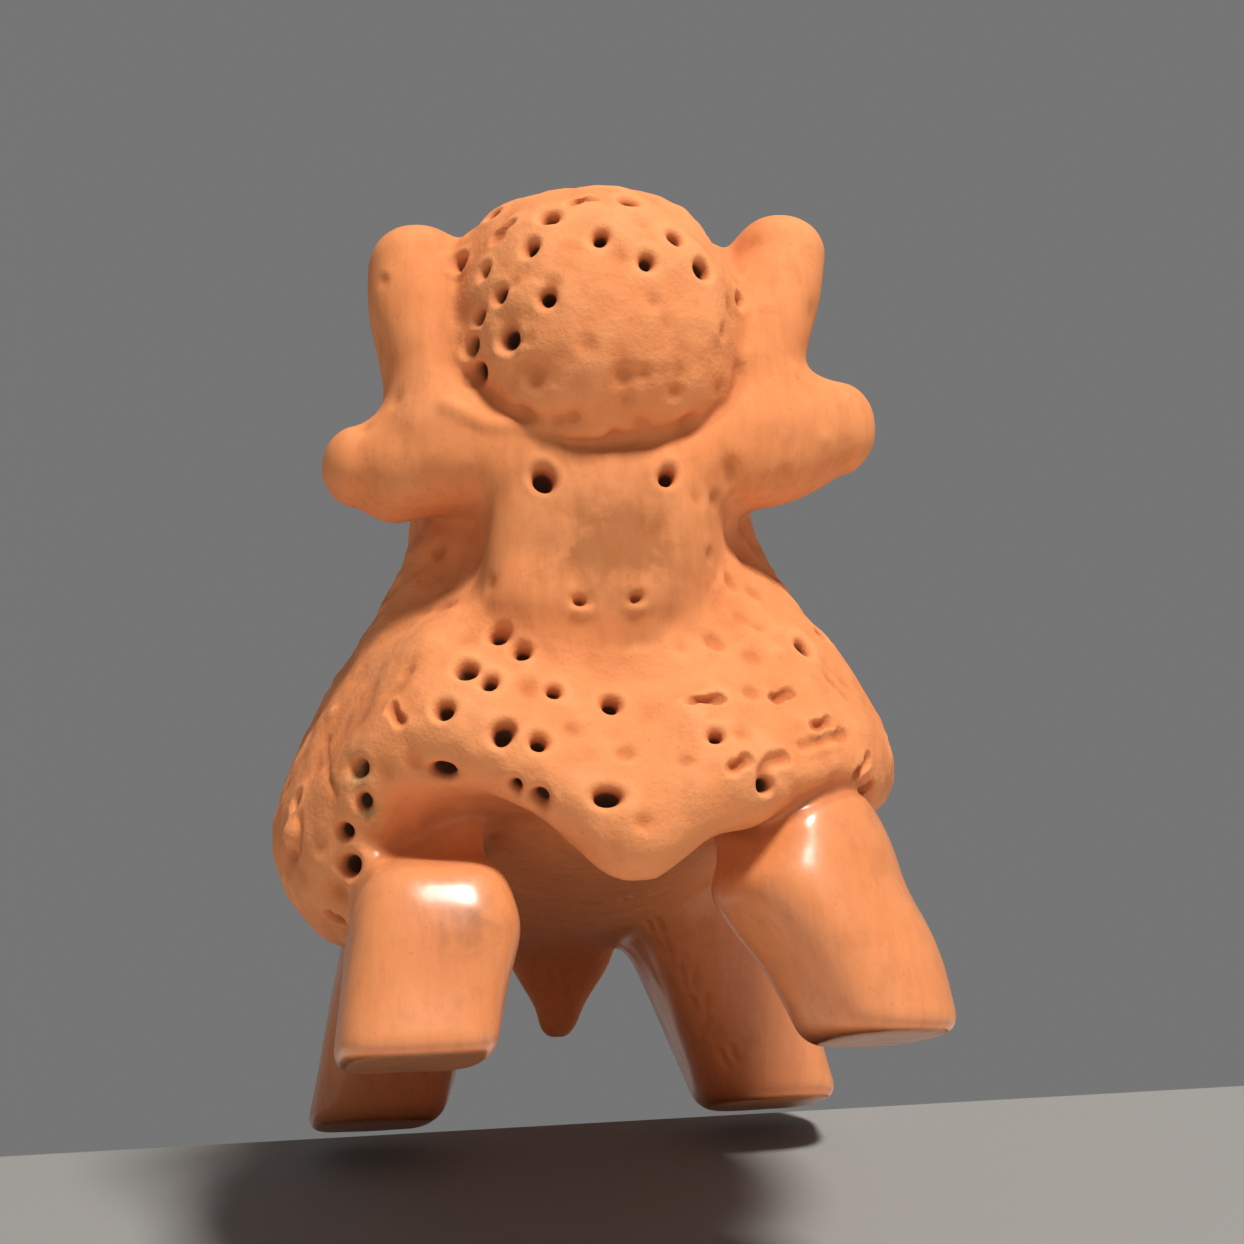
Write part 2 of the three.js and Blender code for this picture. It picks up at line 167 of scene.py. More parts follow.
legShapes = {
    # height, x, y, half width, half depth; turned a little round an upright line
    "frontLeft": {"squareness": 3.2, "turn": 0, "rows": [
        [0, -15.5, -22.7, 5.2, 5.8], [4.0, -14.8, -22.3, 5.3, 5.4], [8.0, -13.9, -21.9, 5.6, 5.3],
        [10.4, -13.7, -21.5, 5.2, 5.0], [12.0, -13.6, -21.0, 4.6, 4.4], [13.2, -13.5, -19.6, 4.0, 3.6],
        [14.6, -13.4, -17.2, 3.7, 3.3], [18.0, -13.2, -15.0, 4.0, 4.0]]},
    "frontRight": {"squareness": 2.6, "turn": 28, "rows": [
        [0, 15.1, -23.0, 4.5, 5.0], [5.0, 13.8, -22.4, 5.4, 5.3], [10.0, 11.6, -21.4, 6.3, 5.6],
        [13.4, 11.5, -20.8, 5.4, 5.4], [18.5, 10.2, -19.6, 4.6, 5.0]]},
    "hindLeft": {"squareness": 3.4, "turn": 0, "rows": [
        [0, -15.4, 17.0, 5.2, 4.8], [13.0, -11.6, 15.6, 5.9, 6.6], [27.0, -7.6, 14.0, 6.2, 8.6]]},
    "hindRight": {"squareness": 3.4, "turn": 0, "rows": [
        [0, 16.0, 17.0, 5.4, 4.8], [13.0, 11.9, 15.6, 6.0, 6.6], [27.0, 7.6, 14.0, 6.2, 8.6]]},
}


def makeBody(shape):
    rings = []
    for y, height, halfWidth, halfHeight in smoothRows(shape["rows"]):
        ring = outline(halfWidth, halfHeight, shape["squareness"])
        rings.append([[shape["middleX"] + x, y, height + z] for x, z in ring])
    return distances(*skin(rings))


def makeTail(shape):
    rings = []
    for height, x, y, halfWidth, halfDepth in smoothRows(shape["rows"]):
        rings.append([[x + a, y + b, height] for a, b in outline(halfWidth, halfDepth, 2)])
    return distances(*skin(rings))


def makeLeg(shape):
    rows = smoothRows(shape["rows"])
    edge = soleEdge * (1 - np.cos(np.radians(np.linspace(0, 90, 9))))
    heights = np.concatenate([edge, rows[rows[:, 0] > soleEdge + 0.2, 0]])
    rings = []
    for z in heights:
        x, y, halfWidth, halfDepth = (np.interp(z, rows[:, 0], rows[:, column]) for column in range(1, 5))
        inset = soleEdge - math.sqrt(max(soleEdge**2 - max(soleEdge - z, 0) ** 2, 0))
        ring = outline(halfWidth - inset, halfDepth - inset, shape["squareness"], shape["turn"])
        rings.append([[x + a, y + b, z] for a, b in ring])
    return distances(*skin(rings))


# Mane: a cape round an upright axis, with a rolled rim below and the hump's dome above

maneShape = {
    "axis": [0.3, -8.0],
    "squareness": 2.25,
    "underside": 17,
    "crest": 59,
    "bell": 0.8,
    "rimOut": {"front": 21.3, "back": 16.5, "left": 23.6, "right": 20.6},
    "neckOut": {"front": 13.0, "back": 13.5, "left": 12.6, "right": 11.8},
    "neckHeight": {"front": 34, "back": 46, "left": 42, "right": 42},
    "rimFront": 15,
    "rimBack": 20.5,
    "roll": {"height": 3.6, "depth": 3.0},
    "leftRoll": {"at": -85, "width": 38, "height": 4.2, "depth": 3.2},
    # direction, width, drop and bluntness of each lobe of the rim
    "lobes": [(-80, 27, 8.0, 4), (-40, 14, -1.5, 2), (-6, 12.5, 3.2, 2.6), (10, 22, 1.6, 2)],
}


def bell(degrees, at, width, bluntness=2):
    return math.exp(-(abs((degrees - at) / width) ** bluntness))


def maneReach(angle, sizes):
    a = abs(math.cos(angle)) / (sizes["front"] if math.cos(angle) > 0 else sizes["back"])
    b = abs(math.sin(angle)) / (sizes["right"] if math.sin(angle) > 0 else sizes["left"])
    squareness = maneShape["squareness"]
    return (a**squareness + b**squareness) ** (-1 / squareness)


def maneProfile(degrees, shape):
    angle = math.radians(degrees)
    left = shape["leftRoll"]
    share = bell(degrees, left["at"], left["width"])
    rollHeight = shape["roll"]["height"] + left["height"] * share
    rollDepth = shape["roll"]["depth"] + left["depth"] * share
    bottom = mix(shape["rimFront"], shape["rimBack"], (1 - math.cos(angle)) / 2)
    bottom -= sum(drop * bell(degrees, at, width, blunt) for at, width, drop, blunt in shape["lobes"])
    widest = bottom + rollHeight
    rim = maneReach(angle, shape["rimOut"])
    neck = maneReach(angle, shape["neckOut"])
    heights = shape["neckHeight"]
    lengthwise = heights["front"] if math.cos(angle) > 0 else heights["back"]
    sideways = heights["right"] if math.sin(angle) > 0 else heights["left"]
    neckHeight = mix(lengthwise, sideways, math.sin(angle) ** 2)
    profile = [[(rim - rollDepth) * 0.5, shape["underside"]]]
    for turn in np.radians(np.linspace(90, 0, 10)):
        profile.append([rim - rollDepth * (1 - math.cos(turn)), widest - rollHeight * math.sin(turn)])
    for part in np.linspace(0.96, 0, 24):
        spread = mix(part, float(smoothStep(part, 0, 1)), shape["bell"])
        profile.append([mix(neck, rim, spread), mix(neckHeight, widest, part)])
    for turn in np.radians(np.linspace(8, 86, 12)):
        profile.append([neck * math.cos(turn), mix(neckHeight, shape["crest"], math.sin(turn))])
    return profile


def makeMane(shape):
    columns = []
    for degrees in np.arange(-180, 180, 2.0):
        angle = math.radians(degrees)
        columns.append([
            [shape["axis"][0] + math.sin(angle) * out, shape["axis"][1] - math.cos(angle) * out, z]
            for out, z in maneProfile(degrees, shape)])
    return distances(*skin(np.array(columns).transpose(1, 0, 2)))


# Head, cap, horns and ears

headShape = {
    "squareness": 3.2,
    # height, middle x, half width, front y, half depth
    "rows": [
        [27.1, -1.9, 4.4, -24.4, 4.0], [28.1, -2.1, 6.1, -25.4, 5.6], [30.4, -2.0, 7.2, -26.0, 6.4],
        [34.0, -1.2, 8.1, -25.2, 6.8], [38.0, -0.5, 8.2, -24.3, 7.0], [42.0, 0.0, 8.6, -23.2, 7.4],
        [47.0, 0.3, 9.0, -22.0, 7.6],
    ],
}
capShape = {"middle": [0.4, -17.3, 51.1], "half": [10.5, 10.7, 10.9], "squareness": 2.3}
hornShapes = {
    # height, x, y, half width, half depth
    "left": {"tip": 3.2, "rows": [[44.0, -11.0, -16.5, 3.4, 4.4], [49.0, -11.2, -16.4, 3.5, 4.6],
                                  [54.0, -11.8, -16.0, 3.7, 4.4], [57.6, -12.0, -15.5, 3.3, 3.9]]},
    "right": {"tip": 3.2, "rows": [[44.0, 10.6, -16.5, 3.6, 4.6], [49.0, 11.7, -16.4, 3.7, 4.6],
                                   [54.0, 13.4, -16.0, 3.8, 4.4], [58.5, 14.9, -15.4, 3.4, 3.9]]},
}
earShapes = {
    # x, y, height, half depth, half height
    "left": {"tip": -2.5, "rows": [[-4.0, -18.0, 42.4, 5.0, 4.6], [-9.0, -18.2, 42.9, 4.7, 4.9],
                                   [-12.5, -17.4, 42.6, 4.2, 4.8], [-14.8, -16.6, 42.2, 3.7, 3.9],
                                   [-16.8, -16.0, 42.6, 3.0, 2.8]]},
    "right": {"tip": 2.6, "rows": [[4.0, -18.0, 41.6, 5.0, 4.4], [9.0, -18.2, 42.4, 4.6, 4.6],
                                   [13.0, -17.2, 43.4, 4.1, 4.5], [16.0, -16.4, 44.4, 3.7, 4.1],
                                   [18.2, -16.0, 45.0, 3.1, 3.4]]},
}


def makeHead(shape):
    rings = []
    for height, x, halfWidth, front, halfDepth in smoothRows(shape["rows"]):
        ring = outline(halfWidth, halfDepth, shape["squareness"])
        rings.append([[x + a, front + halfDepth + b, height] for a, b in ring])
    return distances(*skin(rings))


def makeCap(shape):
    rings = []
    for rise in np.radians(np.linspace(-88, 88, 72)):
        ring = []
        for turn in np.radians(np.arange(0, 360, 3.0)):
            way = np.array([math.cos(turn) * math.cos(rise), math.sin(turn) * math.cos(rise), math.sin(rise)])
            size = (np.abs(way) ** shape["squareness"]).sum() ** (-1 / shape["squareness"])
            ring.append(way * size * shape["half"] + shape["middle"])
        rings.append(ring)
    return distances(*skin(rings))


def makeLimb(shape, upright):
    rows = list(smoothRows(shape["rows"]))
    along, a, b, halfA, halfB = rows[-1]
    for turn in np.radians(np.linspace(8, 84, 12)):
        close = math.cos(turn)
        rows.append([along + shape["tip"] * math.sin(turn), a, b, halfA * close, halfB * close])
    rings = []
    for place, midA, midB, halfA, halfB in rows:
        ring = outline(halfA, halfB, 2.2)
        if upright:
            rings.append([[midA + u, midB + v, place] for u, v in ring])
        else:
            rings.append([[place, midA + u, midB + v] for u, v in ring])
    return distances(*skin(rings))


# Joining the forms, from the smooth underparts to the pieces laid over them

body = makeBody(bodyShape)
tail = makeTail(tailShape)
mane = makeMane(maneShape)
head = makeHead(headShape)
cap = makeCap(capShape)
horns = [makeLimb(shape, True) for shape in hornShapes.values()]
ears = [makeLimb(shape, False) for shape in earShapes.values()]
legs = {name: makeLeg(shape) for name, shape in legShapes.items()}
print("forms ready")

join(body, 0.2)
join(tail, 3.2)
join(legs["hindLeft"], 3.0, leg=1)
join(legs["hindRight"], 3.0, leg=1)
join(mane, 0.8, hair=1)
join(legs["frontLeft"], lambda x, y, z: mix(2.4, 0.6, smoothStep(x + 0 * y + 0 * z, -18.0, -14.5)),
     leg=1)
join(legs["frontRight"], 0.4, 0.5, leg=1)
join(head, lambda x, y, z: mix(2.2, 3.6, smoothStep(x + 0 * y + 0 * z, 1.0, 6.0)), face=1)
for ear in ears:
    join(ear, 1.8)
join(cap, 0.7, 0.45, hair=1)
for horn in horns:
    join(horn, 2.4)
print("forms joined")


# Reading the clay: values between cells, the skin met on a way, and the direction outwards

def readAt(field, points, size=grain, rounded=False):
    local = (np.asarray(points, np.float32) - low.astype(np.float32)) / np.float32(size)
    base = np.clip(np.floor(local).astype(np.int32), 0, np.array(field.shape) - 2)
    part = np.clip(local - base, 0, 1)
    if rounded:
        part = part * part * (3 - 2 * part)
    result = np.zeros(local.shape[:-1], np.float32)
    for i, j, k in np.ndindex(2, 2, 2):
        weight = 1
        for axis, side in enumerate((i, j, k)):
            weight = weight * (part[..., axis] if side else 1 - part[..., axis])
        result += weight * field[base[..., 0] + i, base[..., 1] + j, base[..., 2] + k]
    return result


def meetSkin(start, way):
    point = np.array(start, float)
    way = np.array(way, float) / np.linalg.norm(way, axis=-1, keepdims=True)
    for _ in range(50):
        point = point + way * readAt(clay, point)[..., None] * 0.9
    return point


def outwards(points, step=0.4):
    sides = [readAt(clay, points + way) - readAt(clay, points - way) for way in np.eye(3) * step]
    slope = np.stack(sides, -1)
    return slope / np.maximum(np.linalg.norm(slope, axis=-1, keepdims=True), 1e-6)


def onMane(degrees, height):
    turn = np.radians(np.asarray(degrees, float))
    out = np.stack([np.sin(turn), -np.cos(turn), 0 * turn], -1)
    start = np.stack([0 * turn + maneShape["axis"][0], 0 * turn + maneShape["axis"][1],
                      0 * turn + np.asarray(height, float)], -1) + out * 30
    return meetSkin(start, -out)


def onCap(degrees, rise):
    turn, rise = np.radians(np.asarray(degrees, float)), np.radians(np.asarray(rise, float))
    way = np.stack([np.sin(turn) * np.cos(rise), -np.cos(turn) * np.cos(rise), np.sin(rise)], -1)
    way = way * capShape["half"]
    return meetSkin(capShape["middle"] + way * 1.15, -way)


def onFront(x, height, start=-33.0):
    return meetSkin([x, start, height], [0, 1, 0])


def onBelly(x, y):
    return meetSkin([x, y, 4.0], [0, 0, 1])


# Working the clay: presses, scratches and holes

def press(point, depth, size):
    point, size = np.array(point, float), np.broadcast_to(np.array(size, float), 3)
    window = around(point, size * 2.4)
    away = sum(((axis - point[i]) / size[i]) ** 2 for i, axis in enumerate(places(window)))
    clay[window] += (depth * np.exp(-away)).astype(np.float32)


def scratch(points, depth, width, lip=0.0):
    points = np.array(points, float)
    middlePoint, size = points.mean(0), np.ptp(points, axis=0) / 2 + width * 4 + 0.3
    window = around(middlePoint, size)
    x, y, z = places(window)
    nearest = np.full(clay[window].shape, 99.0)
    for start, end in zip(points[:-1], points[1:]):
        along = end - start
        share = ((x - start[0]) * along[0] + (y - start[1]) * along[1] + (z - start[2]) * along[2])
        share = np.clip(share / (along @ along), 0, 1)
        away = ((x - start[0] - share * along[0]) ** 2 + (y - start[1] - share * along[1]) ** 2
                + (z - start[2] - share * along[2]) ** 2)
        nearest = np.minimum(nearest, np.sqrt(away))
    change = depth * np.exp(-(nearest / width) ** 2)
    if lip:
        change -= lip * np.exp(-((nearest - width * 1.7) / (width * 0.7)) ** 2)
    clay[window] += change.astype(np.float32)


def sidesOf(outward, turn=0.0):
    level = np.cross([0, 0, 1.0], outward)
    if np.linalg.norm(level) < 0.2:
        level = np.cross([0, 1.0, 0], outward)
    level /= np.linalg.norm(level)
    rise = np.cross(outward, level)
    turn = math.radians(turn)
    return level * math.cos(turn) + rise * math.sin(turn), rise * math.cos(turn) - level * math.sin(turn)


def punch(point, radius, depth, stretch=1.0, turn=0.0, outward=None, rim=0.1, taper=0.55):
    point = np.array(point, float)
    if outward is None:
        outward = outwards(point)
    sideA, sideB = sidesOf(outward, turn)
    window = around(point, depth + radius * stretch + 1.0)
    x, y, z = (axis - point[i] for i, axis in enumerate(places(window)))
    along = x * outward[0] + y * outward[1] + z * outward[2]
    across = (x * sideA[0] + y * sideA[1] + z * sideA[2]) / stretch
    upwards = x * sideB[0] + y * sideB[1] + z * sideB[2]
    away = np.sqrt(across**2 + upwards**2)
    wall = away - radius * (1 - taper * np.clip(-along / depth, -0.3, 1))
    hole = -blend(-wall, along + depth, 0.35)
    old = clay[window]
    old = old - rim * np.exp(-((away - radius - 0.42) / 0.3) ** 2 - (along / 0.8) ** 2)
    clay[window] = (-blend(-old, hole, 0.45)).astype(np.float32)


def slit(point, length, turn, depth=1.1, width=0.32, lip=0.12):
    outward = outwards(point)
    sideA, _ = sidesOf(outward, turn)
    steps = np.linspace(-0.5, 0.5, 5)
    line = [point + sideA * length * step - outward * depth * 0.35 * (1 - (2 * step) ** 2) for step in steps]
    scratch(line, depth, width, lip)


def soften(field, times):
    for _ in range(times):
        for axis in range(3):
            turned = np.moveaxis(field, axis, 0)
            turned[1:-1] = 0.25 * turned[:-2] + 0.5 * turned[1:-1] + 0.25 * turned[2:]


# Broad finger work: hollows of the neck, the turned-up lip over the left leg, the cap's corners

fingerWork = [
    # point, how deep, how wide each way
    ((-11.6, -17.5, 35.0), 2.0, (3.0, 3.6, 4.2)),
    ((11.2, -16.2, 36.0), 0.8, (2.4, 3.0, 3.0)),
    ((-12.8, -23.2, 15.6), 2.6, (4.4, 2.6, 1.5)),
    ((-6.0, -17.5, 59.6), -0.6, (3.0, 4.0, 2.4)),
    ((8.9, -14.6, 58.6), -2.6, (1.9, 2.6, 2.0)),
    ((-3.0, -23.8, 26.2), -0.7, (5.0, 2.5, 2.0)),
]
for point, depth, size in fingerWork:
    press(point, depth, size)
soften(clay, 3)
print("broad shapes ready")


# The turned-up edge of the cap over the left cheek
capEdge = [onCap(degrees, rise) for degrees, rise in ((-67, -26), (-58, -36), (-46, -44), (-30, -50), (-10, -52))]
scratch(capEdge, -0.45, 0.55)


# Uneven skin: rough where the hair was worked, nearly smooth where the clay was burnished

unevenness = {
    # size of the lumps, height on the hair, height on the burnished clay
    "rows": [(5.2, 0.24, 0.11), (2.3, 0.19, 0.04), (1.05, 0.085, 0.012)],
    "dents": 380,
}


def lumps(points, size):
    shape = np.ceil((high - low) / size).astype(int) + 2
    lattice = chance.uniform(-1, 1, shape).astype(np.float32)
    return readAt(lattice, points, size, rounded=True)


band = np.nonzero(np.abs(clay) < 1.0)
spots = (low + grain * np.stack(band, -1)).astype(np.float32)
hairy = shares["hair"][band]
change = np.zeros(len(spots), np.float32)
for size, onHair, onSmooth in unevenness["rows"]:
    change += lumps(spots, size) * mix(onSmooth, onHair, hairy)
clay[band] += change
plain = clay.copy()
print("uneven skin ready")


# The hair: holes punched with a stick, shallow dents and slits, as the maker left them

stickHole = {"radius": 0.60, "depth": 1.8, "spread": 0.14, "funnel": 0.24}
maneHoles = {
    "punched": [
        (-33.4, 25.3), (-28.8, 24.2), (-29.4, 27.9), (-24.3, 26.5), (-17.5, 23.4), (-19.9, 19.6),
        (-24.8, 16.8), (-21.0, 15.9), (-6.6, 22.4), (-52.1, 19.6), (-52.3, 17.3), (-57.6, 15.8),
        (-58.3, 13.6), (-35.7, 22.4), (43.2, 27.3), (11.8, 19.6),
    ],
    "large": [(-25.9, 20.3, 1.25, 80), (-37.7, 18.4, 1.55, -8), (-8.7, 15.7, 1.5, 0)],
    "faint": [
        (10.6, 26.6), (19.8, 27.0), (27.0, 26.1), (30.8, 29.3), (40.4, 31.7), (32.5, 32.1),
        (-5.1, 18.7), (-14.5, 20.5), (-41.8, 19.2), (-3.0, 13.8), (5.6, 17.9), (16.6, 19.8),
        (60.1, 30.3), (61.1, 29.5), (45.6, 24.7), (-22.1, 23.7), (-61.8, 36.9), (-50.4, 31.7),
        (22.0, 23.0), (-62.4, 12.1),
    ],
    # direction, height, length, turn
    "slits": [
        (11.7, 22.3, 2.1, 0), (28.9, 22.8, 1.6, 24), (14.9, 17.5, 1.2, 30), (34.9, 20.8, 1.9, 20),
        (44.7, 18.2, 1.9, 48), (-44.7, 22.7, 1.7, -55), (-66.8, 10.7, 1.2, -40), (48.0, 17.0, 1.6, 40),
    ],
}
capHoles = {
    "punched": [
        (-25, 31), (12, 41), (-32, 18), (-5, 20), (26, 21), (12, 10), (36, 10), (-53, 15), (-45, 3),
        (-26, -3), (-57, -1), (-43, -14), (-62, -10), (-55, -34), (75, -6), (-91, 34),
    ],
    "large": [(-62, -20, 1.3, 0)],
    "faint": [
        (-36, -30), (18, -13), (-13, -20), (1, -32), (71, -23), (-23, -45), (26, -36), (10, -48),
        (76, 7), (-24, 2), (-47, -40), (40, -46), (50, -30),
    ],
    "slits": [(-47, 30, 1.7, 40), (-11, 40, 1.4, 20), (73, -26, 1.6, 50)],
}


def isHair(point):
    return readAt(shares["hair"], point) > 0.5


def hairSpots(rows, onSurface):
    for row in rows:
        point = onSurface(*row[:2])
        if isHair(point):
            yield point, row[2:]


def workHair(holes, onSurface):
    for point, _ in hairSpots(holes["punched"], onSurface):
        wobble = chance.normal(0, stickHole["spread"], 3)
        press(point, stickHole["funnel"], 0.95)
        punch(point, stickHole["radius"] * (1 + wobble[0]), stickHole["depth"] * (1 + wobble[1]),
              1 + abs(wobble[2]), chance.uniform(0, 180))
    for point, (stretch, turn) in hairSpots(holes["large"], onSurface):
        press(point, stickHole["funnel"], 1.2)
        punch(point, 0.72, 1.9, stretch, turn)
    for point, _ in hairSpots(holes["faint"], onSurface):
        press(point, chance.uniform(0.35, 0.6), chance.uniform(0.5, 0.75))
    for point, (length, turn) in hairSpots(holes["slits"], onSurface):
        slit(point, length, turn)


workHair(maneHoles, onMane)
workHair(capHoles, onCap)

# Rows that run on round the sides and back, as on the CAD model
backRows = {"up": [0.05, 0.16, 0.27, 0.38, 0.49, 0.60, 0.71, 0.82, 0.93], "spacing": 4.6, "ends": (66, 286)}
capRows = {"rises": [8, 26, 44, 62, 80], "spacing": 4.4, "ends": (62, 298)}


def aroundBack(rows, reachAt, heightAt, onSurface):
    for index, up in enumerate(rows):
        step = math.degrees(reachAt["spacing"] / heightAt(up)[0])
        first, last = reachAt["ends"]
        for degrees in np.arange(first + index % 2 * step / 2, last, step):
            degrees = degrees + chance.normal(0, 2.5)
            height = heightAt(up, degrees)[1] + chance.normal(0, 0.35)
            point = onSurface(degrees, height)
            outward = outwards(point)
            if not isHair(point) or readAt(clay, point + outward * 2.4) < 1.5:
                continue
            punch(point, stickHole["radius"] * chance.uniform(0.8, 1.15), chance.uniform(1.0, 1.9),
                  chance.uniform(1.0, 1.35), chance.uniform(0, 180))


def maneRow(up, degrees=180.0):
    out = mix(maneShape["rimOut"]["back"], maneShape["neckOut"]["back"] * 0.6, up)
    turned = (degrees + 540) % 360 - 180
    bottom = min(height for _, height in maneProfile(turned, maneShape)[1:])
    return out, mix(bottom + 2.0, maneShape["crest"], up)


def capRow(rise, degrees=180.0):
    return capShape["half"][0] * math.cos(math.radians(min(rise, 70))), rise


aroundBack(backRows["up"], backRows, maneRow, onMane)
aroundBack(capRows["rises"], capRows, capRow, onCap)

# Lumps and dents pressed by chance into the hair
for _ in range(unevenness["dents"]):
    degrees, up = chance.uniform(-180, 180), chance.uniform(0, 0.95)
    point = onMane(degrees, maneRow(up, degrees)[1])
    press(point, chance.uniform(-0.2, 0.34), chance.uniform(0.45, 1.0))
for _ in range(unevenness["dents"] // 3):
    point = onCap(chance.uniform(-180, 180), chance.uniform(-50, 85))
    if isHair(point):
        press(point, chance.uniform(-0.18, 0.34), chance.uniform(0.45, 0.95))
print("hair worked")


# Details seen from the front: the pellet and folds on the left lobe, the torn right lobe

press(onMane(-72.4, 16.9) + outwards(onMane(-72.4, 16.9)) * 0.2, -0.75, 0.85)
press(onMane(-73.7, 15.5), 0.6, (0.9, 1.0, 0.5))
scratch([onMane(-69.5, 17.6), onMane(-68.6, 16.6), onMane(-69.6, 15.6)], 0.3, 0.3)
scratch([onMane(-70.7, 23.3), onMane(-64.5, 20.8), onMane(-58.0, 18.4)], 0.22, 0.3)
scratch([onMane(40.5, 20.3), onMane(34.0, 19.6), onMane(28.5, 19.0)], 0.3, 0.35, 0.12)
scratch([onMane(23.8, 18.0), onMane(20.8, 17.7), onMane(19.2, 16.9), onMane(20.0, 16.1)], 0.85, 0.38, 0.15)
punch(onMane(19.8, 16.3), 0.5, 1.6)


# Eyes, nostrils and the strokes on belly and leg

eyeLeft, eyeRight = onFront(-4.9, 38.9), onFront(3.6, 38.9)
facing = np.array([0.0, -1.0, 0.12])
punch(eyeLeft, 0.85, 2.0, 1.3, 105, outward=facing / np.linalg.norm(facing), rim=0.14)
punch(eyeRight, 0.62, 1.7, 1.35, 60, outward=facing / np.linalg.norm(facing), rim=0.12)
for x, height, turn in ((-3.3, 29.6, -10), (0.5, 29.7, 25)):
    nostril = onFront(x, height)
    press(nostril + np.array([0, 0, -0.75]), -0.22, (0.8, 0.6, 0.4))
    punch(nostril, 0.36, 0.95, 1.5, turn, rim=0.05)

strokes = {
    "belly": [(-2.7, 5.9), (-0.1, -0.1), (2.9, -0.7), (5.3, -0.7), (5.5, 5.9)],
    "leg": [(6.5, 13.6), (7.3, 12.0), (8.2, 11.0), (9.1, 9.4), (9.9, 7.6), (10.6, 5.5), (12.0, 3.5)],
    "depth": 0.28,
    "width": 0.2,
}


def strokeGroup(point):
    outward = outwards(point)
    lean = chance.uniform(-35, 35)
    for shift in (-0.45, 0.35):
        sideA, sideB = sidesOf(outward, lean + chance.uniform(-12, 12))
        start = point + sideA * shift - sideB * chance.uniform(0.4, 0.7)
        end = point + sideA * (shift + chance.uniform(-0.2, 0.2)) + sideB * chance.uniform(0.4, 0.7)
        scratch([start, end], strokes["depth"], strokes["width"])


for x, y in strokes["belly"]:
    strokeGroup(onBelly(x, y))
for x, height in strokes["leg"]:
    strokeGroup(onFront(x, height, 4.0))
print("details worked")


# The mesh, with what its material needs to know at each point

def makeMesh(name):
    grid = openvdb.FloatGrid(background=reach)
    grid.copyFromArray(clay)
    points, quads = grid.convertToQuads(isovalue=0.0)
    points = (points * grain + low - middle) * 0.001
    mesh = bpy.data.meshes.new(name)
    mesh.vertices.add(len(points))
    mesh.vertices.foreach_set("co", points.astype(np.float32).ravel())
    mesh.loops.add(quads.size)
    mesh.loops.foreach_set("vertex_index", quads.astype(np.int32).ravel())
    mesh.polygons.add(len(quads))
    mesh.polygons.foreach_set("loop_start", np.arange(0, quads.size, 4, dtype=np.int32))
    mesh.update(calc_edges=True)
    mesh.validate()
    piece = bpy.data.objects.new(name, mesh)
    bpy.context.scene.collection.objects.link(piece)
    return piece


def lessen(piece, most):
    count = sum(len(face.vertices) - 2 for face in piece.data.polygons)
    if count <= most:
        return
    thin = piece.modifiers.new("thin", "DECIMATE")
    thin.ratio = most / count
    bpy.context.view_layer.update()
    graph = bpy.context.evaluated_depsgraph_get()
    mesh = bpy.data.meshes.new_from_object(piece.evaluated_get(graph))
    piece.modifiers.clear()
    piece.data = mesh


def keepValues(mesh, values):
    for name, numbers in values.items():
        layer = mesh.attributes.new(name, "FLOAT", "POINT")
        layer.data.foreach_set("value", np.asarray(numbers, np.float32))


# Level soles, with nothing below the ground
clay = np.maximum(clay, (-low[2] - grain * np.arange(cells[2])).astype(np.float32))
buffalo = makeMesh("buffaloClay")
print("mesh", len(buffalo.data.polygons), "faces")
lessen(buffalo, 194000)
print("mesh", len(buffalo.data.polygons), "faces after thinning")

corners = np.empty(len(buffalo.data.vertices) * 3, np.float32)
buffalo.data.vertices.foreach_get("co", corners)
corners = corners.reshape(-1, 3) * 1000 + middle
coarse = clay[::2, ::2, ::2].copy()
soften(coarse, 5)


def patch(centre, size):
    return np.exp(-(((corners - centre) / size) ** 2).sum(1))


brownPatches = patch((-0.4, -25.5, 34.0), (5.6, 3.0, 4.6)) * readAt(shares["face"], corners)
brownPatches += 0.55 * patch((-12.2, -27.0, 8.5), (3.0, 4.0, 3.6))
residue = sum(patch(point, (0.8, 1.2, 0.8)) for point in (onMane(-52.8, 19.0), onMane(-53.0, 16.6),
                                                          onMane(20.4, 16.2)))
keepValues(buffalo.data, {
    "hair": readAt(shares["hair"], corners),
    "face": readAt(shares["face"], corners),
    "leg": readAt(shares["leg"], corners) * smoothStep(corners[:, 2], 24.0, 13.0),
    # pit: depth inside the punched holes; the material darkens it as painted shade and makes it rougher
    "pit": np.clip(-readAt(plain, corners) / 1.1, 0, 1),
    # crest: how far the skin stands out of or sinks into its softened form, for painted light on lumps and painted
    # shade in hollows
    "crest": np.clip(readAt(coarse, corners, grain * 2) * 4, -1, 1),
    "brown": np.clip(brownPatches, 0, 1),
    "residue": np.clip(residue, 0, 1),
})
buffalo.data.shade_smooth()
buffalo.data.normals_split_custom_set_from_vertices(outwards(corners, 0.25))
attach(buffalo, "root")
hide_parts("buffalo")


# Materials: sockets as values, so that sums read as sums

